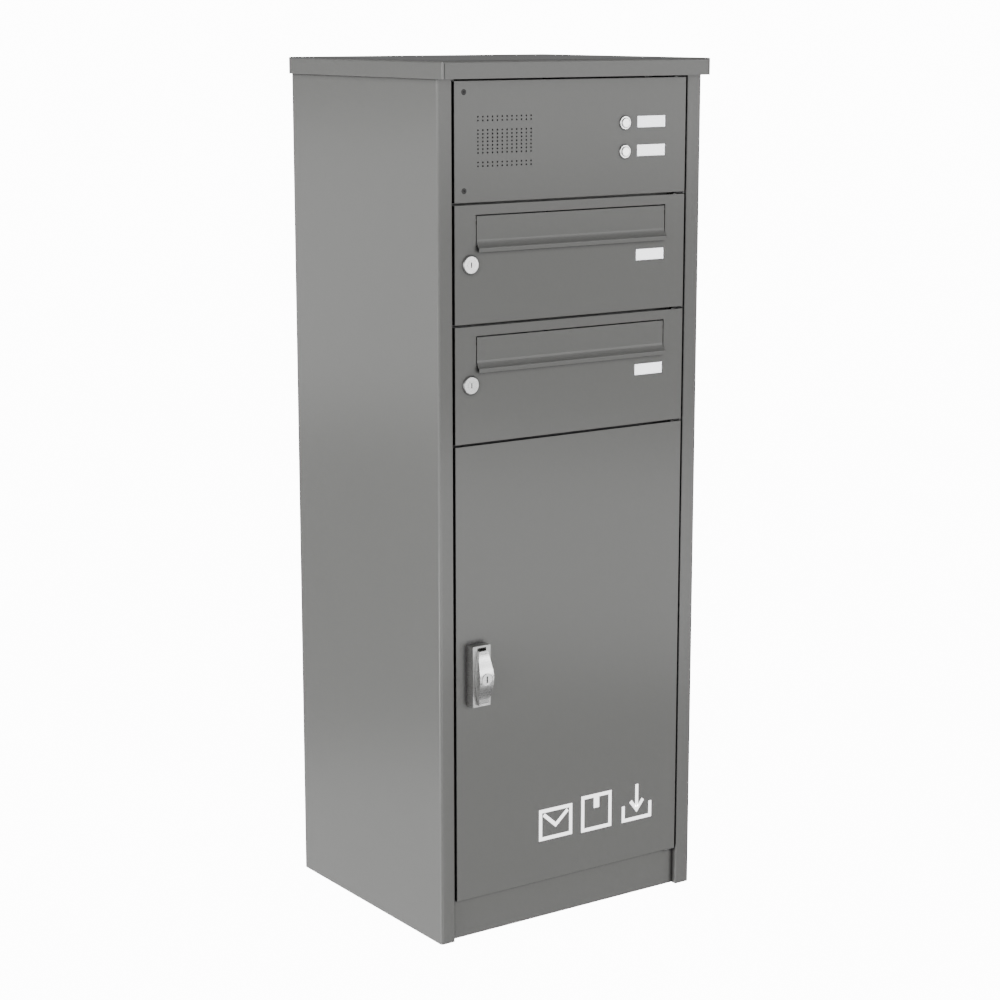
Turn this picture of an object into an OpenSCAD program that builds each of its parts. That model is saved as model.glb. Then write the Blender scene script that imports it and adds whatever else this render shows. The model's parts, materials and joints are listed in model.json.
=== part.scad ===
// Free-standing cluster mailbox: an intercom panel, two letterboxes and a parcel
// compartment, one above the other in one folded sheet-metal housing.
// Millimetres. +Z is up, the front faces -Y, and the origin is on the floor at the
// centre of the four anchor holes.

/* [Housing] */
// Width over the side panels
cab_w = 450; // [436:1:470]
// Depth from the front flange to the back
cab_d = 385; // [360:1:440]
// Height of one front panel, gap included
unit_h = 164.3; // [160:0.1:180]
// Height of the parcel door
parcel_h = 654.5; // [560:0.5:700]
// Height of the plinth, up to the parcel door
plinth_h = 59.5; // [50:0.5:90]
// How far the plinth stands back from the front
plinth_recess = 9.6; // [9:0.1:16]
// Sheet thickness
sheet = 1.5; // [1.2:0.1:1.6]
// Width of the front flange on the lock side
flange_w = 23.2; // [21:0.1:25]
// Width of the front flange on the hinge side
hinge_flange_w = 25.5; // [23:0.1:26.5]

/* [Roof] */
// Overhang past the front
roof_front = 16.5; // [8:0.5:25]
// Overhang past each side
roof_side = 2.5; // [2.2:0.1:12]
// Overhang past the back
roof_back = 4; // [3:0.1:12]
// Height of the roof's skirt
skirt_h = 24; // [20:0.5:28]

/* [Doors] */
// Gap between two doors, one above the other
door_gap = 3.4; // [3:0.1:3.6]
// Gap between a door and the side flange
side_gap = 3.5; // [3.4:0.1:4]
// Depth of a door's folded edge
pan_d = 15; // [14:0.5:15]
// Largest door angle that the hinges allow, for reference
door_open = 110; // [90:5:115]

/* [Letter flap] */
// Width of the flap
flap_w = 322.5; // [316:0.5:326]
// Flap's left edge, from the middle of the door
flap_left = -162.5; // [-165:0.5:-160]
// Distance from the door's top to the flap's top
flap_top = 15.1; // [15:0.1:17]
// How far the grip lip stands out
lip_out = 6.6; // [5:0.1:8]

/* [Hidden] */
$fn = 48;
eps = 0.01;                               // cuts run this far past a face

// Colours
paint = "#7d7d7a";
zinc = "#b9bbbd";
steel = "#c9cbcc";
nylon = "#ecebe4";
black = "#1c1c1e";

// Planes of the housing
front = -cab_d / 2;
back = cab_d / 2;
half_w = cab_w / 2;
left_x = -half_w + flange_w;              // edges of the opening between the flanges
right_x = half_w - hinge_flange_w;
inside_x = half_w - sheet;                // inner face of a side panel
jamb_d = pan_d + 3;                       // depth of the flange's inner return
inner_front = front + jamb_d + 6;         // fronts of the shelves and trays
inner_back = back - 2 * sheet;            // inner face of the back panel
line_parcel = plinth_h + parcel_h + door_gap / 2;  // middles of the gaps between doors
line_lower = line_parcel + unit_h;
line_upper = line_lower + unit_h;
line_top = line_upper + unit_h;
open_top = line_top + door_gap / 2;
roof_top = open_top + skirt_h - 0.5;
panel_h = unit_h - door_gap;
door_left = left_x + side_gap;
door_right = right_x - side_gap;
front_bend = 2.5;                         // inside radii of the side panels' folds
back_bend = 1.5;
jamb_bend = 0.5;

// Door hinges: the axis stands behind the front so that the door's edge clears the flange
hinge_x = door_right - 12;
hinge_y = front + 8;
pin_r = 2.5;
pin_reach = 8;                            // how far a pin goes into a door
bush_r = 4;
running = 0.08;                           // radial clearance of a turning fit
ear = 2;                                  // thickness of a hinge bracket
ear_y = 5;                                // half its depth

// Doors' folded lips
lip_w = 10;
hinge_lip_w = 8;

// Name plates
name_w = 50;
name_h = 15.7;
name_x = 134.8;                             // middle of every name plate

// Letterbox locks
lock_x = -173;
lock_drop = 80.2;                         // below the door's top
rosette_r = 12.8;
rosette_t = 2.6;
barrel_r = 9;
core_r = 6;
core_end = front + 19;
cam_front = core_end + 0.5;
cam_t = 2;
cam_len = 38;
cam_w = 14;

name_drop = 82.6;                        // letterbox name plates, below the door's top

// Letter flap, measured down from the door's top and out from the front
slot_top = flap_top - 1.7;
slot_bottom = 54.5;
flap_gap = 1.5;
rod_drop = flap_top + 5.6;
rod_y = front + 5;
rod_r = 2;
rod_clear = 0.06;
sweep_r = 12;
sweep_from = 47;
sweep_angle = acos(1 - lip_out / sweep_r);
lip_h = 5.8;

// Intercom panel
speaker_x = -116.7;                       // middle of the speech holes
speaker_z = line_top - 82;
hole_pitch = 7.93;
hole_r = 1.25;
hole_rows = [32.8, 27.8, 15, 10, 5, 0, -5, -10, -15, -27.8, -32.8];
bell_x = 87.5;
bell_z = [line_top - 63.1, line_top - 102.9];
bell_cap_r = 7;
bell_bezel_r = 9.6;
bell_barrel_r = 8;
bell_travel = 1.2;
bell_name_rise = 0.8;                     // a name plate's middle above its bell
screw_x = -183;
screw_z = [line_top - 16.3, line_top - 147];

// Parcel door handle
handle_x = -167;
handle_z = plinth_h + 329;
handle_w = 29.5;
handle_h = 87.5;
handle_t = 17;
base_rise = 2;                            // the base's middle above the lock
lever_len = 78;
lever_mid_w = 23.5;
lever_end_w = 14.5;
lever_low = 5;                            // lever's thickness at its ends
lever_high = 13;                          // and over the lock
lever_gap = 0.4;
key_core_r = 9;
spindle_r = 8;
latch_len = 46;

// Conduit for the house cable
conduit_x = 195;
conduit_y = 172;
conduit_r = 10;
conduit_top = line_upper + 16;

// ---- Functions for folded sections ----
function left_of(d) = [-d[1], d[0]];
function right_of(d) = [d[1], -d[0]];
function unit(v) = v / norm(v);
function turned(v, a) = [v[0] * cos(a) - v[1] * sin(a), v[0] * sin(a) + v[1] * cos(a)];
function heading(path, i) = unit(path[i + 1] - path[i]);
// Arc that replaces a corner, as points
function fillet(p, d1, d2, r, n = 6) =
    r <= 0 ? [p] :
    let (a = acos(d1 * d2), s = sign(cross(d1, d2)), start = -s * r * left_of(d1),
         c = p - d1 * r * tan(a / 2) - start)
    [for (i = [0:n]) c + turned(start, s * a * i / n)];
// The path moved to its right by t
function beside(path, t) =
    [for (i = [0:len(path) - 1])
        i == 0 ? path[0] + t * right_of(heading(path, 0)) :
        i == len(path) - 1 ? path[i] + t * right_of(heading(path, i - 1)) :
        let (n1 = right_of(heading(path, i - 1)), n2 = right_of(heading(path, i)))
        path[i] + t * (n1 + n2) / (1 + n1 * n2)];
// The path with each inner corner rounded; bends to the right get r_right, others r_left
function rounded(path, radii, r_right, r_left) =
    [for (i = [0:len(path) - 1])
        each (i == 0 || i == len(path) - 1 || radii[i] == 0) ? [path[i]] :
        let (d1 = heading(path, i - 1), d2 = heading(path, i))
        fillet(path[i], d1, d2, radii[i] + (cross(d1, d2) < 0 ? r_right : r_left))];
function reversed(list) = [for (i = [len(list) - 1:-1:0]) list[i]];
// Section of a folded sheet on the right of its outer path; radii are inside radii
function sheet_section(path, radii, t) =
    concat(rounded(path, radii, t, 0), reversed(rounded(beside(path, t), radii, 0, t)));

// ---- Shared shapes ----
// A section drawn as [y, z], extruded along X
module along_x(x0, length) {
    translate([x0, 0, 0]) rotate([90, 0, 90]) linear_extrude(length) children();
}

// A section drawn as [x, z], extruded along Y
module along_y(y0, length) {
    translate([0, y0 + length, 0]) rotate([90, 0, 0]) linear_extrude(length) children();
}

// A cylinder along +Y
module rod_along_y(x, z, y0, y1, r, r2 = -1) {
    translate([x, y0, z]) rotate([-90, 0, 0])
        cylinder(r1 = r, r2 = r2 < 0 ? r : r2, h = y1 - y0);
}

module hex_along_y(x, z, y0, y1, across) {
    translate([x, y0, z]) rotate([-90, 0, 0])
        cylinder(d = across / cos(30), h = y1 - y0, $fn = 6);
}

module block(x0, x1, y0, y1, z0, z1) {
    translate([x0, y0, z0]) cube([x1 - x0, y1 - y0, z1 - z0]);
}

// Rectangle from the origin upwards with its two top corners rounded
module arched_square(w, h, r) {
    translate([-w / 2, 0]) square([w, h - r]);
    translate([-w / 2 + r, 0]) square([w - 2 * r, h]);
    for (side = [-1, 1]) translate([side * (w / 2 - r), h - r]) circle(r);
}

module rounded_square(w, h, r) {
    square([w - 2 * r, h], center = true);
    square([w, h - 2 * r], center = true);
    for (i = [-1, 1], j = [-1, 1]) translate([i * (w / 2 - r), j * (h / 2 - r)]) circle(r);
}

// ---- Housing ----
// Where a hinge bracket stands: the middle of its thickness, and which way its pin goes
hinge_levels = [plinth_h - door_gap / 2, line_parcel, line_lower, line_upper, line_top];

module hinge_bracket(z) {
    difference() {
        union() {
            block(hinge_x, right_x + 3.5, hinge_y - ear_y, hinge_y + ear_y, z - ear / 2, z + ear / 2);
            translate([hinge_x, hinge_y, z - ear / 2]) cylinder(r = ear_y, h = ear);
        }
        translate([hinge_x, hinge_y, z - ear]) cylinder(r = pin_r, h = 2 * ear);
    }
}

module side_panel(w) {
    x = -half_w + w;
    path = [[x, front + jamb_d], [x, front], [-half_w, front], [-half_w, back], [x, back]];
    linear_extrude(roof_top - sheet - 0.6)
        polygon(sheet_section(path, [0, jamb_bend, front_bend, back_bend, 0], sheet));
}

module side_panel_left() {
    color(paint) side_panel(flange_w);
}

module side_panel_right() {
    color(paint) difference() {
        mirror([1, 0, 0]) side_panel(hinge_flange_w);
        for (z = hinge_levels)
            block(right_x - eps, right_x + sheet + eps, hinge_y - ear_y, hinge_y + ear_y,
                z - ear / 2, z + ear / 2);
    }
}

rivet_x = half_w - flange_w / 2;
rivet_z = [for (i = [0:5]) 90 + i * (line_top - 150) / 5];

module back_panel() {
    x = inside_x - back_bend - 0.2;
    color(paint) difference() {
        block(-x, x, inner_back, back - sheet, 0, open_top);
        for (side = [-1, 1], z = rivet_z)
            rod_along_y(side * rivet_x, z, inner_back - eps, back, 2);
    }
}

module back_panel_rivets() {
    color(steel) for (side = [-1, 1], z = rivet_z) {
        rod_along_y(side * rivet_x, z, inner_back, back - sheet, 2);
        rod_along_y(side * rivet_x, z, inner_back - 1.2, inner_back, 3.4);
    }
}

module roof_block(grow) {
    r = 3.5 + grow;
    top = roof_top + grow;
    w = cab_w + 2 * roof_side + 2 * grow;
    d = cab_d + roof_front + roof_back + 2 * grow;
    mid_y = (roof_back - roof_front) / 2;
    low = roof_top - skirt_h;
    intersection() {
        translate([0, 0, low]) along_y(mid_y - d, 2 * d) arched_square(w, top - low, r);
        translate([0, mid_y, low]) along_x(-w, 2 * w) arched_square(d, top - low, r);
        translate([0, mid_y, low - 1]) linear_extrude(top - low + 2) rounded_square(w, d, r - 0.5);
    }
}

// Corner seams: each front and back skirt butts against the side skirts
module roof_seams() {
    seam = 0.8;
    seam_x = half_w + roof_side - 3.6;
    for (side = [-1, 1]) {
        block(side * seam_x - seam / 2, side * seam_x + seam / 2, front - roof_front - 1,
            front - roof_front + sheet + eps, roof_top - skirt_h - 1, roof_top - 3.5);
        block(side * seam_x - seam / 2, side * seam_x + seam / 2, back + roof_back - sheet - eps,
            back + roof_back + 1, roof_top - skirt_h - 1, roof_top - 3.5);
        for (y = [front - roof_front + 1.5, back + roof_back - 1.5])
            translate([side * seam_x, y, roof_top - 4]) sphere(1.5);
    }
}

module roof_cap() {
    color(paint) difference() {
        roof_block(0);
        translate([0, 0, -eps]) roof_block(-sheet);
        roof_seams();
    }
}

stud_x = 170;
stud_y = 140;
stud_low = open_top - 9;

module roof_fixings() {
    color(steel) for (i = [-1, 1], j = [-1, 1]) {
        translate([i * stud_x, j * stud_y, stud_low])
            cylinder(r = 3, h = roof_top - sheet - stud_low);
        translate([i * stud_x, j * stud_y, open_top - 5]) difference() {
            cylinder(d = 10 / cos(30), h = 5, $fn = 6);
            translate([0, 0, -1]) cylinder(r = 3, h = 7);
        }
    }
}

module ceiling_panel() {
    x0 = left_x + 0.3;
    x1 = right_x - 0.3;
    color(paint) difference() {
        union() {
            block(x0, x1, front, front + jamb_d + 1, open_top, open_top + sheet);
            block(x0, x1, front, front + sheet, open_top, roof_top - sheet - 2);
            block(-inside_x, inside_x, front + jamb_d + 1, back - sheet, open_top,
                open_top + sheet);
        }
        for (i = [-1, 1], j = [-1, 1])
            translate([i * stud_x, j * stud_y, open_top - 1]) cylinder(r = 3.3, h = 4);
    }
}

// An inverted pan: a plate with its four edges folded down
module shelf(top) {
    drop = 12;
    color(paint) difference() {
        block(-inside_x, inside_x, inner_front, inner_back, top - drop, top);
        block(-inside_x + sheet, inside_x - sheet, inner_front + sheet, inner_back - sheet,
            top - drop - 1, top - sheet);
        translate([conduit_x, conduit_y, top - 3]) cylinder(r = conduit_r + 0.3, h = 6);
    }
}

shelf_rise = 0.5;                         // shelf tops stand this far above the gap's middle

module intercom_shelf() { shelf(line_upper + shelf_rise); }
module letterbox_shelf() { shelf(line_lower + shelf_rise); }
module parcel_top_shelf() { shelf(line_parcel + shelf_rise); }

tray_x = 200;
tray_back = 150;
tray_sheet = 1;
tray_lip = 20;                            // keeps the letters in when the door opens

module letterbox_tray(shelf_top) {
    tray_h = unit_h - 16;
    color(zinc) difference() {
        block(-tray_x, tray_x, inner_front, tray_back, shelf_top, shelf_top + tray_h);
        block(-tray_x + tray_sheet, tray_x - tray_sheet, inner_front + tray_sheet,
            tray_back - tray_sheet, shelf_top + tray_sheet, shelf_top + tray_h + 1);
        block(-tray_x + tray_sheet, tray_x - tray_sheet, inner_front - 1, inner_front + 2,
            shelf_top + tray_lip, shelf_top + tray_h + 1);
    }
}

module upper_letterbox_tray() { letterbox_tray(line_lower + shelf_rise); }
module lower_letterbox_tray() { letterbox_tray(line_parcel + shelf_rise); }

module parcel_floor() {
    side_drop = 30;
    color(paint) difference() {
        block(-inside_x, inside_x, inner_front, inner_back, plinth_h - side_drop, plinth_h);
        block(-inside_x + sheet, inside_x - sheet, inner_front - 1, inner_back + 1,
            plinth_h - side_drop - 1, plinth_h - sheet);
        translate([conduit_x, conduit_y, plinth_h - 3]) cylinder(r = conduit_r + 0.3, h = 6);
    }
}

anchor_x = 150;
anchor_y = 110;
anchor_r = 6;
base_t = 2;
cable_r = 8.5;

module base_plate() {
    color(paint) difference() {
        block(-inside_x, inside_x, front + jamb_d, inner_back, 0, base_t);
        for (i = [-1, 1], j = [-1, 1])
            translate([i * anchor_x, j * anchor_y, -1]) cylinder(r = anchor_r, h = 4);
        translate([conduit_x, conduit_y, -1]) cylinder(r = cable_r, h = 4);
    }
}

module plinth_panel() {
    y = front + plinth_recess;
    path = [[y, 0], [y, plinth_h - sheet], [inner_front + 6, plinth_h - sheet]];
    color(paint) difference() {
        along_x(left_x, right_x - left_x) polygon(sheet_section(path, [0, 1, 0], sheet));
        block(hinge_x - ear_y - 0.5, right_x + 1, y - 1, hinge_y + ear_y + 0.5,
            plinth_h - door_gap / 2 - ear / 2 - 0.5, plinth_h);
    }
}

module hinge_brackets() {
    color(zinc) for (z = hinge_levels) hinge_bracket(z);
}

module hinge_pins() {
    last = len(hinge_levels) - 1;
    color(steel) for (i = [0:last]) {
        low = hinge_levels[i] - (i == 0 ? ear / 2 : door_gap / 2 + pin_reach);
        high = hinge_levels[i] + (i == last ? ear / 2 : door_gap / 2 + pin_reach);
        translate([hinge_x, hinge_y, low]) cylinder(r = pin_r, h = high - low);
    }
}

stop_front = front + pan_d + 1.5;
stop_z = [plinth_h + 40, line_parcel - 40, line_parcel + 22, line_lower + 22];
stop_pad_x = left_x + 8;

module stop_brackets() {
    color(zinc) {
        for (z = stop_z)
            block(left_x, left_x + 13, stop_front, front + jamb_d, z - 8, z + 8);
        for (z = screw_z) difference() {
            block(left_x, screw_x + 7, stop_front, front + jamb_d, z - 8, z + 8);
            rod_along_y(screw_x, z, stop_front - 1, front + jamb_d + 1, 2.4);
        }
    }
}

module stop_pads() {
    color(black) for (z = stop_z) rod_along_y(stop_pad_x, z, stop_front - 1.3, stop_front, 3.5);
}

module cable_conduit() {
    color(black) translate([conduit_x, conduit_y, base_t]) difference() {
        cylinder(r = conduit_r, h = conduit_top - base_t);
        translate([0, 0, -1]) cylinder(r = conduit_r - 1, h = conduit_top);
    }
}

// ---- Doors ----
// A folded front from z0 upwards, with lips on the lock side and on the hinge side
module door_pan(z0, h) {
    x0 = door_left;
    x1 = door_right;
    color(paint) difference() {
        block(x0, x1, front, front + pan_d, z0, z0 + h);
        block(x0 + sheet, x1 - sheet, front + sheet, front + pan_d - sheet, z0 + sheet,
            z0 + h - sheet);
        block(x0 + lip_w, x1 - hinge_lip_w, front + pan_d - 2 * sheet, front + pan_d + 1,
            z0 + sheet, z0 + h - sheet);
        translate([hinge_x, hinge_y, z0 - 1]) cylinder(r = bush_r, h = h + 2);
    }
}

// Two flanged sleeves that turn on the hinge pins
module door_bushes(z0, h) {
    length = pin_reach + 1;
    color(nylon) for (end = [0, 1])
        translate([hinge_x, hinge_y, z0 + end * h]) mirror([0, 0, end]) difference() {
            union() {
                cylinder(r = bush_r, h = length);
                translate([0, 0, sheet]) cylinder(r = 5.8, h = 1.2);
            }
            translate([0, 0, -1]) cylinder(r = pin_r + running, h = length + 2);
        }
}

module name_cutout(x, z) {
    block(x - name_w / 2, x + name_w / 2, front - 1, front + sheet + eps, z - name_h / 2,
        z + name_h / 2);
}

// Clear cover: its face fills the cut-out, its rim holds it and the card's edges from behind
module name_window(x, z) {
    clear = 0.15;
    color("white", 0.4) difference() {
        union() {
            block(x - name_w / 2 + clear, x + name_w / 2 - clear, front - 0.6, front + sheet,
                z - name_h / 2 + clear, z + name_h / 2 - clear);
            block(x - name_w / 2 - 2, x + name_w / 2 + 2, front + sheet, front + sheet + 1,
                z - name_h / 2 - 2, z + name_h / 2 + 2);
        }
        block(x - name_w / 2, x + name_w / 2, front + sheet + 0.9, front + sheet + 2,
            z - name_h / 2, z + name_h / 2);
    }
}

module name_card(x, z) {
    color("white") block(x - name_w / 2 - 1, x + name_w / 2 + 1, front + sheet + 1,
        front + sheet + 1.5, z - name_h / 2 - 1, z + name_h / 2 + 1);
}

// ---- Intercom panel ----
module speech_holes() {
    for (column = [0:11], row = hole_rows)
        rod_along_y(speaker_x + (column - 5.5) * hole_pitch, speaker_z + row,
            front - 1, front + sheet + 1, hole_r, $fn = 24);
}

module intercom_panel() {
    difference() {
        door_pan(line_upper + door_gap / 2, panel_h);
        speech_holes();
        for (z = bell_z) {
            rod_along_y(bell_x, z, front - 1, front + 3, bell_barrel_r);
            name_cutout(name_x, z + bell_name_rise);
        }
        for (z = screw_z) rod_along_y(screw_x, z, front - eps, front + sheet + eps, 4.05, 2.45);
    }
}

module intercom_panel_bushes() { door_bushes(line_upper + door_gap / 2, panel_h); }

module intercom_panel_screws() {
    color(zinc) for (z = screw_z) difference() {
        union() {
            rod_along_y(screw_x, z, front, front + sheet, 3.95, 2.35);
            rod_along_y(screw_x, z, front + sheet - eps, front + jamb_d + 1, 2);
        }
        hex_along_y(screw_x, z, front - 1, front + 1.1, 2.5);
    }
}

// Plate behind the speech holes: open in the middle, with a bar across the centre holes
module speaker_bracket() {
    y = front + sheet;
    x = speaker_x;
    z = speaker_z;
    window_w = 96;
    window_h = 37;
    corner = 8;
    color(paint) {
        difference() {
            block(x - 56, x + 56, y, y + sheet, z - 42, z + 42);
            block(x - window_w / 2, x + window_w / 2, y - 1, y + 3, z - window_h / 2 + corner,
                z + window_h / 2 - corner);
            block(x - window_w / 2 + corner, x + window_w / 2 - corner, y - 1, y + 3,
                z - window_h / 2, z + window_h / 2);
        }
        block(x - 7, x + 7, y, y + 5, z - 12.5, z + 12.5);
        block(x - 7, x + 7, y + 5, y + 5 + sheet, z - 30, z + 30);
        for (side = [-1, 1])
            block(x - 7, x + 7, y + sheet, y + 5, z + side * 26 - 4, z + side * 26 + 4);
    }
}

module_front = front + 10;

module intercom_module() {
    x = speaker_x;
    z = speaker_z;
    color(black) difference() {
        union() {
            block(x - 56, x + 56, module_front, module_front + 28, z - 46, z + 46);
            block(x - 56, x + 56, front + 2 * sheet, module_front, z + 36, z + 42);
            block(x - 56, x + 56, front + 2 * sheet, module_front, z - 42, z - 36);
        }
        rod_along_y(x - 25, z, module_front - 1, module_front + 12, 17);
        rod_along_y(x + 25, z, module_front - 1, module_front + 12, 17);
    }
}

module bell_bezels() {
    color(steel) for (z = bell_z) difference() {
        union() {
            rod_along_y(bell_x, z, front - 1.2, front, bell_bezel_r);
            rod_along_y(bell_x, z, front - 2, front - 1.2, bell_bezel_r - 0.8, bell_bezel_r);
        }
        rod_along_y(bell_x, z, front - 3, front + 1, bell_cap_r + running);
    }
}

module bell_switches() {
    color(black) for (z = bell_z) {
        difference() {
            rod_along_y(bell_x, z, front, front + 20, bell_barrel_r);
            rod_along_y(bell_x, z, front - 1, front + 9, bell_cap_r + running);
        }
        difference() {
            hex_along_y(bell_x, z, front + sheet, front + sheet + 3, 20);
            rod_along_y(bell_x, z, front, front + 8, bell_barrel_r);
        }
    }
}

module bell_name_windows() { for (z = bell_z) name_window(name_x, z + bell_name_rise); }
module bell_name_cards() { for (z = bell_z) name_card(name_x, z + bell_name_rise); }

// Flat leads from the switches to the module's side
module bell_leads() {
    start_y = front + 20;
    path = [[bell_x - 0.8, start_y], [bell_x - 0.8, start_y + 9], [speaker_x + 56, start_y + 9]];
    color(black) for (z = bell_z) translate([0, 0, z - 3]) linear_extrude(6)
        polygon(sheet_section(path, [0, 3, 0], 1.6));
}

module bell_button(z) {
    color(steel) {
        rod_along_y(bell_x, z, front - 3, front + 6, bell_cap_r);
        rod_along_y(bell_x, z, front - 3.6, front - 3, bell_cap_r - 1, bell_cap_r);
    }
}

module bell_button_upper() { bell_button(bell_z[0]); }
module bell_button_lower() { bell_button(bell_z[1]); }

// ---- Letterbox doors: z is the door's top ----
flap_right = flap_left + flap_w;
bracket_y = [front + sheet, front + 11];

module letterbox_door(top) {
    lock_z = top - lock_drop;
    difference() {
        union() {
            door_pan(top - panel_h, panel_h);
            color(paint) for (x = [flap_left - flap_gap - 3.5, flap_right + flap_gap + 2])
                block(x, x + sheet, bracket_y[0] - eps, bracket_y[1], top - rod_drop - 8,
                    top - rod_drop + 9);
        }
        block(flap_left - flap_gap, flap_right + flap_gap, front - 1, front + sheet + 1,
            top - slot_bottom, top - slot_top);
        translate([flap_left - 10, rod_y, top - rod_drop]) rotate([0, 90, 0])
            cylinder(r = rod_r, h = flap_w + 20);
        rod_along_y(lock_x, lock_z, front - 1, front + 3, barrel_r);
        name_cutout(name_x, top - name_drop);
    }
}

module flap_rod(top) {
    color(steel) translate([flap_left - 6, rod_y, top - rod_drop]) rotate([0, 90, 0])
        cylinder(r = rod_r, h = flap_w + 12);
}

// Flat blade, a sweep outwards and a grip lip, with an ear at each end for the rod
module letter_flap(top) {
    sweep_n = 8;
    lip_y = front - lip_out;
    sweep_low = sweep_from + sweep_r * sin(sweep_angle);
    path = concat([[lip_y, top - sweep_low - lip_h]],
        [for (i = [0:sweep_n]) let (a = sweep_angle * (1 - i / sweep_n))
            [front - sweep_r * (1 - cos(a)), top - sweep_from - sweep_r * sin(a)]],
        [[front, top - flap_top]]);
    radii = [for (i = [0:len(path) - 1]) i == 1 ? 0.6 : 0];
    color(paint) difference() {
        union() {
            along_x(flap_left, flap_w) polygon(sheet_section(path, radii, sheet));
            for (x = [flap_left + 1, flap_right - 1 - sheet])
                block(x, x + sheet, front + sheet - eps, front + 10, top - rod_drop - 6,
                    top - flap_top);
        }
        translate([flap_left - 1, rod_y, top - rod_drop]) rotate([0, 90, 0])
            cylinder(r = rod_r + rod_clear, h = flap_w + 2);
    }
}

// Barrel with a domed rosette in front and a nut behind the door
module lock_housing(top) {
    z = top - lock_drop;
    color(zinc) {
        difference() {
            union() {
                rod_along_y(lock_x, z, front - 1.2, front, rosette_r);
                rod_along_y(lock_x, z, front - rosette_t, front - 1.2, rosette_r - 1.4,
                    rosette_r);
                rod_along_y(lock_x, z, front, core_end, barrel_r);
            }
            rod_along_y(lock_x, z, front - 5, core_end + 1, core_r + running);
        }
        difference() {
            hex_along_y(lock_x, z, front + sheet, front + sheet + 3.5, 23);
            rod_along_y(lock_x, z, front, front + 9, barrel_r);
        }
    }
}

module lock_core(top) {
    z = top - lock_drop;
    color(steel) difference() {
        union() {
            rod_along_y(lock_x, z, front - rosette_t - 0.3, core_end, core_r);
            block(lock_x - 3, lock_x + 3, core_end, cam_front + cam_t + 3, z - 3, z + 3);
        }
        block(lock_x - 0.8, lock_x + 0.8, front - 5, front + 6, z - 3.6, z + 3.6);
    }
}

// Tongue on the core's square tail: it hangs down when the door is unlocked
module cam_plate(x, z, y0, thick, w, length, square_side) {
    difference() {
        union() {
            rod_along_y(x, z, y0, y0 + thick, w / 2 + 1);
            block(x - w / 2, x + w / 2, y0, y0 + thick, z - length, z);
        }
        block(x - square_side / 2, x + square_side / 2, y0 - 1, y0 + thick + 1,
            z - square_side / 2, z + square_side / 2);
    }
}

module lock_cam(top) {
    z = top - lock_drop;
    color(zinc) {
        cam_plate(lock_x, z, cam_front, cam_t, cam_w, cam_len, 6);
        difference() {
            hex_along_y(lock_x, z, cam_front + cam_t, cam_front + cam_t + 3, 11);
            block(lock_x - 3, lock_x + 3, cam_front, cam_front + 9, z - 3, z + 3);
        }
    }
}

top_upper = line_upper - door_gap / 2;
top_lower = line_lower - door_gap / 2;

module upper_letterbox_door() { letterbox_door(top_upper); }
module upper_door_bushes() { door_bushes(top_upper - panel_h, panel_h); }
module upper_flap_rod() { flap_rod(top_upper); }
module upper_lock_housing() { lock_housing(top_upper); }
module upper_name_window() { name_window(name_x, top_upper - name_drop); }
module upper_name_card() { name_card(name_x, top_upper - name_drop); }
module upper_flap() { letter_flap(top_upper); }
module upper_lock_core() { lock_core(top_upper); }
module upper_lock_cam() { lock_cam(top_upper); }

module lower_letterbox_door() { letterbox_door(top_lower); }
module lower_door_bushes() { door_bushes(top_lower - panel_h, panel_h); }
module lower_flap_rod() { flap_rod(top_lower); }
module lower_lock_housing() { lock_housing(top_lower); }
module lower_name_window() { name_window(name_x, top_lower - name_drop); }
module lower_name_card() { name_card(name_x, top_lower - name_drop); }
module lower_flap() { letter_flap(top_lower); }
module lower_lock_core() { lock_core(top_lower); }
module lower_lock_cam() { lock_cam(top_lower); }

// ---- Parcel door ----
handle_screw_dz = 34;
back_plate_t = 3;

module parcel_door() {
    difference() {
        door_pan(plinth_h, parcel_h);
        rod_along_y(handle_x, handle_z, front - 1, front + 3, spindle_r + 0.5);
        for (side = [-1, 1])
            rod_along_y(handle_x, handle_z + side * handle_screw_dz, front - 1, front + 3, 2.7);
    }
}

module parcel_door_bushes() { door_bushes(plinth_h, parcel_h); }

// Hat section on the inside of the door
module parcel_door_stiffener() {
    y0 = front + sheet;
    height = parcel_h - 60;
    path = [[-34, y0], [-20, y0], [-20, y0 + 9], [20, y0 + 9], [20, y0], [34, y0]];
    path_in = [for (p = path) [p[0], p[1] + (p[1] > y0 ? 0 : sheet)]];
    color(paint) translate([0, 0, plinth_h + 30]) linear_extrude(height)
        polygon(sheet_section(path_in, [0, 1, 1, 1, 1, 0], sheet));
}

module handle_base() {
    finger_top = base_rise + handle_h / 2 - 2.7;
    color(zinc) difference() {
        translate([handle_x, 0, handle_z + base_rise]) along_y(front - handle_t, handle_t)
            rounded_square(handle_w, handle_h, 1.2);
        block(handle_x - 7.5, handle_x + 7.5, front - handle_t - 1, front - handle_t + 9,
            handle_z + finger_top - 9, handle_z + finger_top);
        rod_along_y(handle_x, handle_z, front - handle_t - 1, front + 1, spindle_r);
        for (side = [-1, 1])
            rod_along_y(handle_x, handle_z + side * handle_screw_dz, front - 8, front + 1, 2.5);
    }
}

module handle_back_plate() {
    y = front + sheet;
    color(zinc) difference() {
        translate([handle_x, 0, handle_z + base_rise]) along_y(y, back_plate_t)
            rounded_square(handle_w, handle_h, 4);
        rod_along_y(handle_x, handle_z, y - 1, y + back_plate_t + 1, spindle_r);
        for (side = [-1, 1])
            rod_along_y(handle_x, handle_z + side * handle_screw_dz, y - 1, y + 5, 2.7);
    }
}

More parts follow.
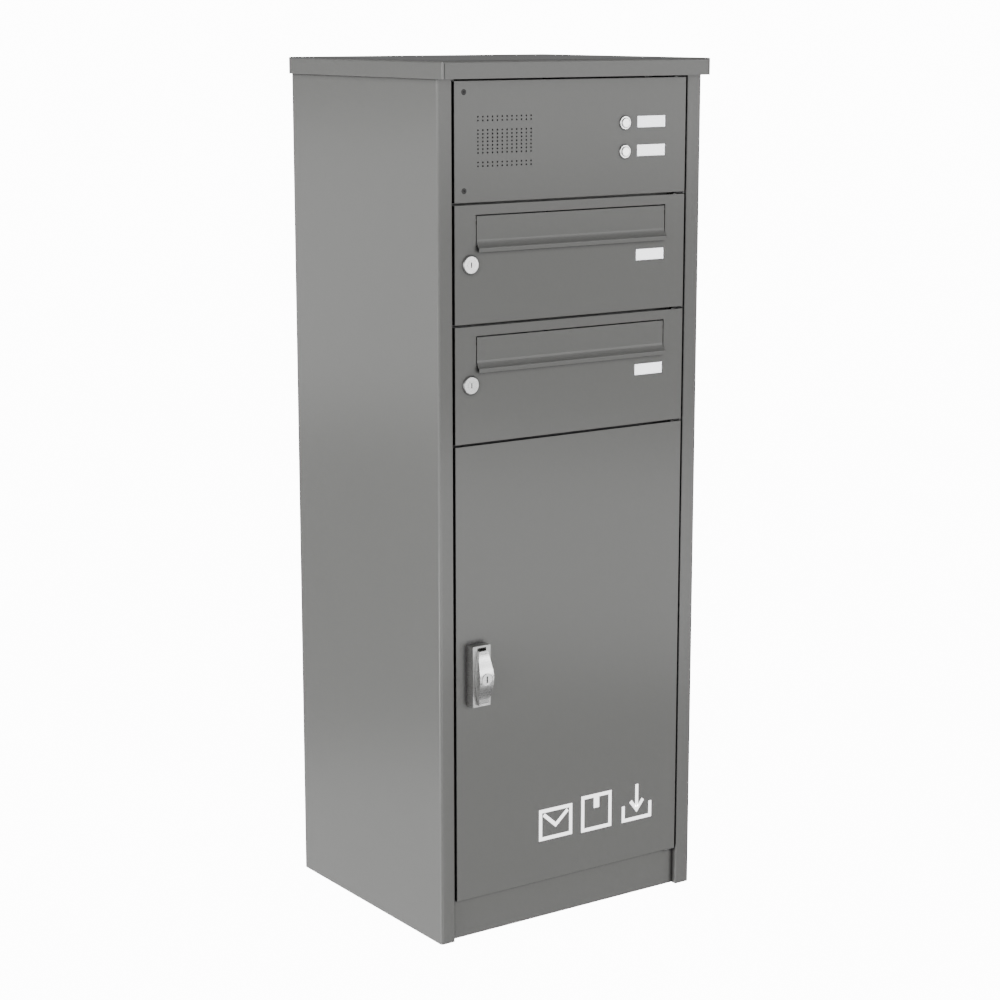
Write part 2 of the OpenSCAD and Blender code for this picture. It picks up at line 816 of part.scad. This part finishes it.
module handle_screws() {
    y = front + sheet + back_plate_t;
    color(steel) for (side = [-1, 1]) difference() {
        union() {
            rod_along_y(handle_x, handle_z + side * handle_screw_dz, front - 8, y, 2.5);
            rod_along_y(handle_x, handle_z + side * handle_screw_dz, y, y + 2.8, 4.5, 3.6);
        }
        hex_along_y(handle_x, handle_z + side * handle_screw_dz, y + 1.2, y + 4, 3);
    }
}

// Height of the lever's face above the base, along its length
function lever_face(s) = lever_low + (lever_high - lever_low) * pow(cos(s * 90), 2);
function lever_half_w(s) = (lever_end_w + (lever_mid_w - lever_end_w) * cos(s * 90)) / 2;

module handle_lever() {
    base = front - handle_t - lever_gap;
    half = lever_len / 2;
    steps = 16;
    side_view = concat([[base, -half], [base, half]],
        [for (i = [steps:-1:-steps]) let (s = i / steps) [base - lever_face(s), s * half]]);
    face_view = concat([for (i = [-steps:steps]) let (s = i / steps) [-lever_half_w(s), s * half]],
        [for (i = [steps:-1:-steps]) let (s = i / steps) [lever_half_w(s), s * half]]);
    color(steel) difference() {
        intersection() {
            translate([0, 0, handle_z]) along_x(handle_x - lever_mid_w, 2 * lever_mid_w)
                polygon(side_view);
            translate([handle_x, 0, handle_z]) along_y(base - 20, 21) polygon(face_view);
        }
        rod_along_y(handle_x, handle_z, base - 20, base - 3, key_core_r + running);
    }
}

module handle_spindle() {
    shoulder = front + sheet + back_plate_t + 5;
    color(zinc) {
        rod_along_y(handle_x, handle_z, front - handle_t - lever_gap, shoulder,
            spindle_r - 0.06);
        block(handle_x - 4, handle_x + 4, shoulder - eps, front + 26, handle_z - 4, handle_z + 4);
    }
}

module latch_cam() {
    y = front + jamb_d + 1;
    color(zinc) {
        cam_plate(handle_x, handle_z, y, 3, 18, latch_len, 8);
        difference() {
            hex_along_y(handle_x, handle_z, y + 3, y + 7, 14);
            block(handle_x - 4, handle_x + 4, y, y + 9, handle_z - 4, handle_z + 4);
        }
    }
}

module handle_lock_core() {
    face = front - handle_t - lever_gap - lever_high;
    color(steel) difference() {
        union() {
            rod_along_y(handle_x, handle_z, face + 1.4, front - handle_t - lever_gap - 3,
                key_core_r);
            rod_along_y(handle_x, handle_z, face - 0.2, face + 1.4, key_core_r - 0.8);
        }
        block(handle_x - 1.2, handle_x + 1.2, face - 1, face + 8, handle_z - 5, handle_z + 5);
    }
}

// ---- One call for each node ----
side_panel_left();
side_panel_right();
back_panel();
back_panel_rivets();
roof_cap();
roof_fixings();
ceiling_panel();
intercom_shelf();
letterbox_shelf();
parcel_top_shelf();
upper_letterbox_tray();
lower_letterbox_tray();
parcel_floor();
base_plate();
plinth_panel();
hinge_brackets();
hinge_pins();
stop_brackets();
stop_pads();
cable_conduit();
intercom_panel();
intercom_panel_bushes();
intercom_panel_screws();
speaker_bracket();
intercom_module();
bell_bezels();
bell_switches();
bell_name_windows();
bell_name_cards();
bell_leads();
bell_button_upper();
bell_button_lower();
upper_letterbox_door();
upper_door_bushes();
upper_flap_rod();
upper_lock_housing();
upper_name_window();
upper_name_card();
upper_flap();
upper_lock_core();
upper_lock_cam();
lower_letterbox_door();
lower_door_bushes();
lower_flap_rod();
lower_lock_housing();
lower_name_window();
lower_name_card();
lower_flap();
lower_lock_core();
lower_lock_cam();
parcel_door();
parcel_door_bushes();
parcel_door_stiffener();
handle_base();
handle_back_plate();
handle_screws();
handle_lever();
handle_spindle();
latch_cam();
handle_lock_core();
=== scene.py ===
import json
import math

import bmesh
import bpy
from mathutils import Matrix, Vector


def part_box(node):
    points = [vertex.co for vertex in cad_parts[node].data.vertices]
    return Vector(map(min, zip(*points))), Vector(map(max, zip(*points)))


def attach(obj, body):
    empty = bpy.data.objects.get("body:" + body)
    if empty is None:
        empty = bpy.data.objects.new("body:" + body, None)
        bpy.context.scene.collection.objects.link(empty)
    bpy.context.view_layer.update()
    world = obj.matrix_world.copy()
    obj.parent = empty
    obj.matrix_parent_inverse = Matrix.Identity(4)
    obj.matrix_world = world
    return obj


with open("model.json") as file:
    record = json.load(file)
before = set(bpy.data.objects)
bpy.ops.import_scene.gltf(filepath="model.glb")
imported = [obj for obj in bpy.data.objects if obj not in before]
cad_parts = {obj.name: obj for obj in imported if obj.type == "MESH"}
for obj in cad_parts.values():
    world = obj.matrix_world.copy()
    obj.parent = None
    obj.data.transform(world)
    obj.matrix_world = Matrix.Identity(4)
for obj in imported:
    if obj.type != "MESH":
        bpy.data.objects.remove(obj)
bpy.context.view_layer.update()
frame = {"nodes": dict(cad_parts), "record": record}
NODES = frame["nodes"]

MM = 0.001
GAP_REACH = 8 * MM  # gaps and corners narrower than this get painted shade
GAP_DARK, GAP_LIGHT = 0.55, 0.95  # open share of the surroundings: full painted shade, no painted shade
# colour of the shade painted into gaps and corners
GAP_SHADE_TONE = (0.004, 0.004, 0.004)
EDGE_RADIUS = 0.7 * MM  # painted edges look rounded by this much
PRINT_PROUD = 0.15 * MM  # the prints stand this far off the door
PRINT_LINE = 5.5  # line width of the prints, mm
FLOOR_DROP = 0.8 * MM  # the floor lies this far below the unit's feet

# ---------------------------------------------------------------- places from the frame


def low(node):
    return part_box(node)[0]


FRONT = low("parcel_door").y  # plane of all the fronts

# ---------------------------------------------------------------- material helpers


class Mat:
    """A node material with short helpers; coordinates are object ones, in metres."""

    def __init__(self, name, **settings):
        self.m = bpy.data.materials.new(name)
        self.m.use_nodes = True
        self.t = self.m.node_tree
        self.shader = self.t.nodes["Principled BSDF"]
        self.coord = self.t.nodes.new("ShaderNodeTexCoord").outputs["Object"]
        for key, value in settings.items():
            self.shader.inputs[key].default_value = value

    def new(self, kind, **props):
        n = self.t.nodes.new(kind)
        for key, value in props.items():
            setattr(n, key, value)
        return n

    def link(self, a, b):
        self.t.links.new(a, b)

    def noise(self, scale, detail=2.0, rough=0.5, coord=None, seed=0.0):
        n = self.new("ShaderNodeTexNoise", noise_dimensions="4D")
        n.inputs["Scale"].default_value = scale
        n.inputs["Detail"].default_value = detail
        n.inputs["Roughness"].default_value = rough
        n.inputs["W"].default_value = seed
        self.link(coord or self.coord, n.inputs["Vector"])
        return n.outputs["Fac"]

    def stretched(self, x, y, z):
        n = self.new("ShaderNodeMapping")
        n.inputs["Scale"].default_value = (x, y, z)
        self.link(self.coord, n.inputs["Vector"])
        return n.outputs["Vector"]

    def band(self, value, a, b, lo, hi):
        """value from a..b mapped to lo..hi, clamped."""
        n = self.new("ShaderNodeMapRange")
        n.inputs["From Min"].default_value = a
        n.inputs["From Max"].default_value = b
        n.inputs["To Min"].default_value = lo
        n.inputs["To Max"].default_value = hi
        self.link(value, n.inputs["Value"])
        return n.outputs["Result"]

    def math(self, op, a, b=None):
        n = self.new("ShaderNodeMath", operation=op)
        for socket, v in zip(n.inputs, (a, b)):
            if v is None:
                continue
            if isinstance(v, (int, float)):
                socket.default_value = v
            else:
                self.link(v, socket)
        return n.outputs["Value"]

    def mix(self, fac, a, b):
        """Colour mixed from a to b by fac; a and b are colours or outputs."""
        n = self.new("ShaderNodeMix", data_type="RGBA")
        self.link(fac, n.inputs["Factor"])
        sockets = [s for s in n.inputs if s.type == "RGBA"]
        for socket, v in zip(sockets, (a, b)):
            if isinstance(v, tuple):
                socket.default_value = (*v, 1.0)
            else:
                self.link(v, socket)
        return [s for s in n.outputs if s.type == "RGBA"][0]

    def soft_edges(self, radius):
        """Normals of edges rounded by radius."""
        n = self.new("ShaderNodeBevel", samples=6)
        n.inputs["Radius"].default_value = radius
        return n.outputs["Normal"]

    def painted_gap_shade(self, colour):
        """The colour with shade painted in: darkened deep inside gaps and corners narrower than
        GAP_REACH.
        """
        # painted shade: occlusion darkens the base colour towards GAP_SHADE_TONE
        n = self.new("ShaderNodeAmbientOcclusion", samples=6)
        n.inputs["Distance"].default_value = GAP_REACH
        open_share = self.band(n.outputs["AO"], GAP_DARK, GAP_LIGHT, 0, 1)
        return self.mix(open_share, GAP_SHADE_TONE, colour)

    def colour(self, output):
        self.link(output, self.shader.inputs["Base Color"])

    def rough(self, output):
        self.link(output, self.shader.inputs["Roughness"])

    def glow(self, output, strength):
        self.link(output, self.shader.inputs["Emission Color"])
        self.shader.inputs["Emission Strength"].default_value = strength

    def bump(self, height, strength, distance, normal=None):
        n = self.new("ShaderNodeBump")
        n.inputs["Strength"].default_value = strength
        n.inputs["Distance"].default_value = distance
        self.link(height, n.inputs["Height"])
        if normal:
            self.link(normal, n.inputs["Normal"])
        self.link(n.outputs["Normal"], self.shader.inputs["Normal"])
        return n.outputs["Normal"]


def grey(v, warm=0.0):
    """Grey of that value; warm takes that share off the blue."""
    return (v, v, v * (1 - warm))


# ---------------------------------------------------------------- materials


def powder_coat(name, tone, rough=0.5):
    """Fine-textured grey powder coat: a tiny orange peel and faint specks."""
    m = Mat(name)
    m.shader.inputs["Coat Weight"].default_value = 1.0
    m.shader.inputs["Coat Roughness"].default_value = 0.1
    peel = m.noise(900, 2, 0.55)
    fine = m.noise(2600, 1, 0.5, seed=3)
    cloud = m.noise(2.2, 3, 0.5, seed=7)
    specks = m.band(m.noise(1900, 0, 0.5, seed=5), 0.62, 0.74, 0, 1)
    base = m.mix(m.band(cloud, 0.3, 0.7, 0, 1), grey(tone * 0.98, 0.03), grey(tone * 1.02, 0.03))
    paint = m.mix(m.math("MULTIPLY", specks, 0.35), base, grey(tone * 1.2, 0.03))
    # painted shade: the coat's colour goes dark inside gaps and corners
    m.colour(m.painted_gap_shade(paint))
    m.rough(m.band(peel, 0.3, 0.7, rough - 0.05, rough + 0.05))
    height = m.math("ADD", peel, m.math("MULTIPLY", fine, 0.4))
    m.bump(height, 0.08, 0.2 * MM, m.soft_edges(EDGE_RADIUS))
    return m.m


def brushed(name, tone, rough, axis):
    """Brushed or satin metal with fine lines along one axis."""
    m = Mat(name, Metallic=1.0)
    scale = [1400.0, 1400.0, 1400.0]
    scale["xyz".index(axis)] = 40.0
    lines = m.noise(1.0, 4, 0.7, m.stretched(*scale), seed=1)
    cloud = m.noise(60, 3, 0.6, seed=2)
    m.colour(m.mix(m.band(lines, 0.3, 0.7, 0, 1), grey(tone * 0.9, 0.01), grey(tone * 1.04, 0.01)))
    m.rough(m.math("ADD", m.band(lines, 0.3, 0.7, rough - 0.05, rough + 0.06),
                   m.band(cloud, 0.3, 0.7, -0.03, 0.03)))
    m.bump(lines, 0.15, 0.00008)
    return m.m


def satin_metal(name, tone, rough, grain=500.0):
    """Plated or cast metal: soft mottling and a fine grain."""
    m = Mat(name, Metallic=1.0)
    mottle = m.noise(90, 3, 0.6, seed=4)
    fine = m.noise(grain, 2, 0.5, seed=6)
    dark, light = grey(tone * 0.93, 0.015), grey(tone * 1.03, 0.01)
    m.colour(m.mix(m.band(mottle, 0.3, 0.7, 0, 1), dark, light))
    m.rough(m.band(fine, 0.3, 0.7, rough - 0.05, rough + 0.06))
    m.bump(fine, 0.10, 0.0001)
    return m.m


def galvanised():
    """Zinc-coated sheet with the faint crystal pattern of its coating."""
    m = Mat("galvanised_sheet", Metallic=1.0)
    cells = m.new("ShaderNodeTexVoronoi", feature="F1")
    cells.inputs["Scale"].default_value = 110
    m.link(m.coord, cells.inputs["Vector"])
    tone = m.band(cells.outputs["Color"], 0, 1, 0, 1)
    # painted shade: the zinc's colour goes dark inside gaps and corners
    m.colour(m.painted_gap_shade(m.mix(tone, grey(0.42), grey(0.52, -0.02))))
    m.rough(m.band(tone, 0, 1, 0.38, 0.52))
    m.bump(m.noise(400, 2), 0.08, 0.0001)
    return m.m


def plastic(name, colour, rough, grain=1500.0, spread=0.12):
    """Moulded plastic or rubber with an eroded surface."""
    m = Mat(name)
    grains = m.noise(grain, 2, 0.6, seed=8)
    cloud = m.noise(25, 2, 0.5, seed=9)
    dark = tuple(c * (1 - spread) for c in colour)
    light = tuple(min(1, c * (1 + spread)) for c in colour)
    m.colour(m.mix(m.band(cloud, 0.3, 0.7, 0, 1), dark, light))
    m.rough(m.band(grains, 0.3, 0.7, rough - 0.06, rough + 0.06))
    m.bump(grains, 0.15, 0.0001)
    return m.m


def clear_plastic():
    """Clear acrylic cover of a name plate."""
    m = Mat("clear_acrylic")
    m.colour(m.mix(m.band(m.noise(30, 2), 0.3, 0.7, 0, 1), (0.92, 0.93, 0.94), (0.97, 0.98, 0.99)))
    m.rough(m.band(m.noise(120, 3, seed=3), 0.3, 0.7, 0.04, 0.11))
    m.link(m.band(m.noise(40, 2, seed=5), 0.3, 0.7, 0.08, 0.12), m.shader.inputs["Alpha"])
    return m.m


def white_with_painted_glow(name, tint, rough, glow):
    """White card or white print with painted light: it glows, so it stays bright in a grey
    picture.
    """
    m = Mat(name)
    fibres = m.noise(1.0, 4, 0.7, m.stretched(900, 900, 2500), seed=2)
    dark = tuple(0.88 * c for c in tint)
    light = tuple(0.94 * c for c in tint)
    m.colour(m.mix(m.band(fibres, 0.3, 0.7, 0, 1), dark, light))
    # painted light: the white glows as if brightly lit
    m.glow(m.mix(m.band(fibres, 0.3, 0.7, 0, 1), dark, light), glow)
    m.rough(m.band(fibres, 0.3, 0.7, rough - 0.08, rough + 0.08))
    m.bump(fibres, 0.1, 0.00005)
    return m.m


LOOKS = {
    "powder_coat": powder_coat("powder_coat", 0.26),
    "galvanised_steel": galvanised(),
    "plain_steel": satin_metal("plain_steel", 0.5, 0.35),
    "blackened_steel": satin_metal("blackened_steel", 0.10, 0.42),
    "stainless_steel": brushed("brushed_stainless", 0.85, 0.26, "x"),
    "nickel_plate": satin_metal("satin_nickel", 0.64, 0.28, 900),
    "zinc_plate": satin_metal("zinc_casting", 0.55, 0.3, 700),
    "nylon": plastic("nylon", (0.72, 0.71, 0.66), 0.45),
    "black_plastic": plastic("black_plastic", (0.022, 0.022, 0.024), 0.5),
    "rubber": plastic("rubber", (0.02, 0.02, 0.021), 0.75),
    "clear_plastic": clear_plastic(),
    # the name cards glow with painted light
    "white_card": white_with_painted_glow("white_card", (0.97, 0.98, 1.0), 0.7, 2.8),
}

SLOTS = {s["node"]: s["material_slot"] for s in frame["record"]["subparts"]}
for name, obj in NODES.items():
    obj.data.materials.clear()
    obj.data.materials.append(LOOKS[SLOTS[name]])
    for p in obj.data.polygons:
        p.material_index = 0

# ---------------------------------------------------------------- pictograms on the parcel door


def stroke(bm, points, width, closed=False):
    """A mitred flat line of that width through points [x, z], as quads in the plane y = 0."""
    pts = [Vector(p) for p in points]
    n = len(pts)
    left, right = [], []
    for i, p in enumerate(pts):
        before = pts[i - 1] if closed or i > 0 else None
        after = pts[(i + 1) % n] if closed or i < n - 1 else None
        d1 = (p - before).normalized() if before else (after - p).normalized()
        d2 = (after - p).normalized() if after else d1
        n1, n2 = Vector((-d1.y, d1.x)), Vector((-d2.y, d2.x))
        off = (n1 + n2) * (width / 2 / (1 + n1.dot(n2)))
        left.append(bm.verts.new(((p + off).x, 0, (p + off).y)))
        right.append(bm.verts.new(((p - off).x, 0, (p - off).y)))
    for i in range(n if closed else n - 1):
        j = (i + 1) % n
        bm.faces.new((right[i], right[j], left[j], left[i]))


def pictogram(name, draw):
    """A print on the parcel door; draw is a list of (points in mm, width in mm, closed)."""
    bm = bmesh.new()
    for points, width, closed in draw:
        stroke(bm, [(x * MM, z * MM) for x, z in points], width * MM, closed)
    bmesh.ops.recalc_face_normals(bm, faces=bm.faces)
    mesh = bpy.data.meshes.new(name)
    bm.to_mesh(mesh)
    bm.free()
    o = bpy.data.objects.new(name, mesh)
    bpy.context.scene.collection.objects.link(o)
    o.location = (0, FRONT - PRINT_PROUD, low("parcel_door").z)
    mesh.materials.append(PRINT)
    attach(o, "parcel_front")
    return o


# the white prints glow with painted light
PRINT = white_with_painted_glow("white_print", (1.0, 1.0, 1.0), 0.5, 2.6)


def letter_picture(x, z, w, h, line):
    """An envelope seen from behind, with its flap."""
    flap = [(x + line, z + h - line), (x + w / 2, z + h * 0.42), (x + w - line, z + h - line)]
    return [([(x, z), (x + w, z), (x + w, z + h), (x, z + h)], line, True), (flap, line, False)]


def parcel_picture(x, z, w, h, line):
    """A box with tape over its top edge."""
    tape = [(x + w / 2, z + h - line / 2), (x + w / 2, z + h * 0.62)]
    return [([(x, z), (x + w, z), (x + w, z + h), (x, z + h)], line, True),
            (tape, line * 1.8, False)]


def tray_picture(x, z, w, h, line):
    """An arrow down into an open tray."""
    tray = [(x, z + h * 0.45), (x, z), (x + w, z), (x + w, z + h * 0.45)]
    shaft = [(x + w / 2, z + h + line / 2), (x + w / 2, z + h * 0.36)]
    head = [(x + w * 0.27, z + h * 0.56), (x + w / 2, z + h * 0.27), (x + w * 0.73, z + h * 0.56)]
    return [(tray, line, False), (shaft, line, False), (head, line, False)]


pictogram("print_letter", letter_picture(-53, 63, 54, 42, PRINT_LINE))
pictogram("print_parcel", parcel_picture(23, 61, 50, 50, PRINT_LINE))
pictogram("print_tray", tray_picture(98, 61, 50, 50, PRINT_LINE))

# ---------------------------------------------------------------- floor, light, camera


def area_light(name, size_x, size_y, power, place, target):
    data = bpy.data.lights.new(name, "AREA")
    data.shape = "RECTANGLE"
    data.size, data.size_y = size_x, size_y
    data.energy = power
    o = bpy.data.objects.new(name, data)
    bpy.context.scene.collection.objects.link(o)
    o.location = place
    o.rotation_euler = (Vector(target) - Vector(place)).to_track_quat("-Z", "Y").to_euler()
    o.visible_camera = False
    return o


def backdrop():
    """Pale floor that rises into a round wall, seen only by the camera."""
    bm = bmesh.new()
    flat, rise, wall_top = 5.0, 4.0, 12.0  # flat floor's radius, bend's radius, wall's height
    profile = [(0.0, 0.0), (2.0, 0.0), (flat, 0.0)]
    profile += [(flat + rise * math.sin(a), rise - rise * math.cos(a))
                for a in (math.radians(10 * i) for i in range(1, 10))]
    profile.append((flat + rise, wall_top))
    points = [bm.verts.new((r, 0, z - FLOOR_DROP)) for r, z in profile]
    for a, b in zip(points, points[1:]):
        bm.edges.new((a, b))
    bmesh.ops.spin(bm, geom=bm.verts[:] + bm.edges[:], cent=(0, 0, 0), axis=(0, 0, 1),
                   angle=math.tau, steps=48)
    bmesh.ops.remove_doubles(bm, verts=bm.verts, dist=0.0001)
    mesh = bpy.data.meshes.new("floor")
    bm.to_mesh(mesh)
    bm.free()
    for p in mesh.polygons:
        p.use_smooth = True
    floor = bpy.data.objects.new("floor", mesh)
    bpy.context.scene.collection.objects.link(floor)
    m = Mat("studio_floor", Roughness=0.9)
    tone = m.mix(m.band(m.noise(1.5, 2), 0.3, 0.7, 0, 1), (0.93, 0.93, 0.93), (0.95, 0.95, 0.95))
    m.colour(tone)
    m.glow(tone, 14.0)
    mesh.materials.append(m.m)
    floor.visible_diffuse = False
    floor.visible_glossy = False
    floor.visible_transmission = False
    floor.visible_shadow = False
    return floor


class World(Mat):
    """The room's light as a function of direction: x right, y back, z up."""

    def __init__(self, name):
        world = bpy.data.worlds.new(name)
        bpy.context.scene.world = world
        world.use_nodes = True
        self.t = world.node_tree
        self.background = self.t.nodes["Background"]
        self.background.inputs["Color"].default_value = (1, 1, 1, 1)
        split = self.new("ShaderNodeSeparateXYZ")
        self.link(self.new("ShaderNodeTexCoord").outputs["Generated"], split.inputs[0])
        _, self.y, self.z = split.outputs

    def step(self, value, a, b):
        """0 before a, 1 after b, smooth between."""
        n = self.new("ShaderNodeMapRange", interpolation_type="SMOOTHSTEP")
        n.inputs["From Min"].default_value = a
        n.inputs["From Max"].default_value = b
        self.link(value, n.inputs["Value"])
        return n.outputs["Result"]

    def window(self, value, a, b, c, d):
        """0 outside a..d, 1 within b..c."""
        return self.math("SUBTRACT", self.step(value, a, b), self.step(value, c, d))


def room(even, front, side):
    """Even light, with bright horizontal bands before and behind the unit."""
    w = World("studio")
    forward = w.math("MULTIPLY", w.y, -1.0)
    front_bands = w.math("ADD", w.window(w.z, -0.29, -0.25, -0.20, -0.16),
                         w.window(w.z, -0.09, -0.04, 0.15, 0.35))
    side_bands = w.math("ADD", w.window(w.z, -0.19, -0.14, -0.06, -0.02),
                        w.window(w.z, -0.60, -0.50, -0.33, -0.28))
    a = w.math("MULTIPLY", front_bands, w.step(forward, 0.0, 0.3))
    b = w.math("MULTIPLY", side_bands, w.step(w.y, 0.0, 0.3))
    total = w.math("MULTIPLY", a, front)
    total = w.math("ADD", total, w.math("MULTIPLY", b, side))
    w.link(w.math("ADD", total, even), w.background.inputs["Strength"])


def fittings_lights():
    """Panels at the right front that light only the bright metal fittings."""
    fittings = bpy.data.collections.new("bright_fittings")
    for name in ("bell_bezels", "bell_button_upper", "bell_button_lower", "upper_lock_housing",
                 "lower_lock_housing", "upper_lock_core", "lower_lock_core", "handle_base",
                 "handle_lever", "handle_lock_core"):
        fittings.objects.link(NODES[name])
    made = [
        area_light("shine_top", 1.4, 0.7, 13, (2.0, -2.6, 0.95), (0.0, -0.2, 1.1)),
        area_light("shine_middle", 1.4, 0.45, 2.4, (1.6, -2.7, 0.45), (-0.17, -0.2, 0.9)),
        area_light("shine_low", 1.4, 0.35, 2.5, (1.5, -2.6, -0.45), (-0.17, -0.2, 0.39)),
        area_light("shine_floor", 1.4, 0.3, 1.5, (1.5, -2.6, -1.5), (-0.17, -0.2, 0.39)),
    ]
    for o in made:
        o.light_linking.receiver_collection = fittings
    return made


def studio():
    room(even=0.18, front=1.4, side=0.79)
    lights = [
        area_light("left_low", 2, 2, 45, (-3.5, 0, -1.2), (0, 0, 0.6)),
        area_light("left_middle", 2, 2, 19, (-3.5, 0, 0.4), (0, 0, 0.6)),
        area_light("front_low", 2, 2, 19, (0.3, -4, -1.2), (0, 0, 0.6)),
        area_light("left_top", 0.8, 0.25, 1.4, (-1.2, -0.05, 1.3), (-0.22, -0.05, 1.3)),
    ]
    lights += fittings_lights()
    backdrop()


def camera():
    """The main view, from the left front and a little above."""
    data = bpy.data.cameras.new("camera")
    data.sensor_width = 36
    data.lens = 84.45
    o = bpy.data.objects.new("camera", data)
    bpy.context.scene.collection.objects.link(o)
    o.location = (-1.9411, -2.8139, 1.2892)
    yaw, pitch = math.radians(34.723), math.radians(-11.623)
    o.rotation_euler = (math.pi / 2 + pitch, 0, -yaw)
    bpy.context.scene.camera = o


studio()
camera()
